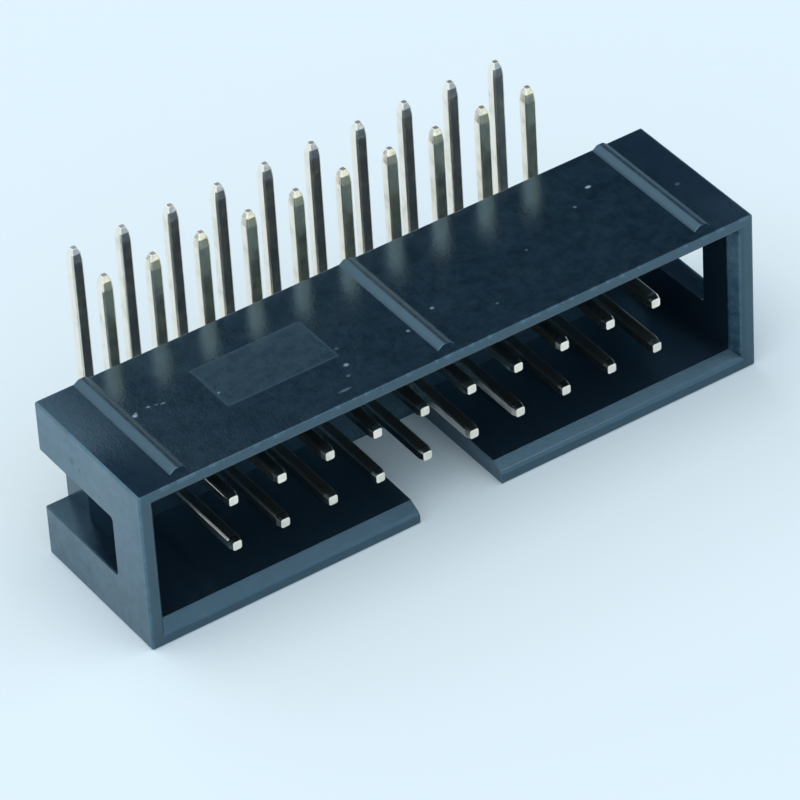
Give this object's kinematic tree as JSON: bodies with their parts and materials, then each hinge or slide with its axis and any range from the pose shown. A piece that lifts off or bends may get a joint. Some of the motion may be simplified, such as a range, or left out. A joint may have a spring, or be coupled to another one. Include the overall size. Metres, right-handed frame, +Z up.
{
  "type": "right-angle shrouded box header",
  "caption": "Keyed, shrouded two-row pin header with right-angle solder tails, for plugging a ribbon-cable socket into a circuit board.",
  "frame": {"origin": "middle of the whole part's footprint, on the resting face of the keyed long wall", "axes": "+X along the rows of contacts, away from contact 1; +Y from the open rim to the solder tails; +Z up, out of the ribs that seat on the board, and along the solder tails"},
  "size_m": [0.033, 0.0132, 0.0121],
  "materials": {
    "housing_plastic": "satin black moulding compound",
    "contact_plating": "bright tin plating over drawn brass wire"
  },
  "bodies": {
    "root": {"housing": "housing_plastic", "contact_01": "contact_plating", "contact_02": "contact_plating", "contact_03": "contact_plating", "contact_04": "contact_plating", "contact_05": "contact_plating", "contact_06": "contact_plating", "contact_07": "contact_plating", "contact_08": "contact_plating", "contact_09": "contact_plating", "contact_10": "contact_plating", "contact_11": "contact_plating", "contact_12": "contact_plating", "contact_13": "contact_plating", "contact_14": "contact_plating", "contact_15": "contact_plating", "contact_16": "contact_plating", "contact_17": "contact_plating", "contact_18": "contact_plating", "contact_19": "contact_plating", "contact_20": "contact_plating"}
  },
  "joints": []
}
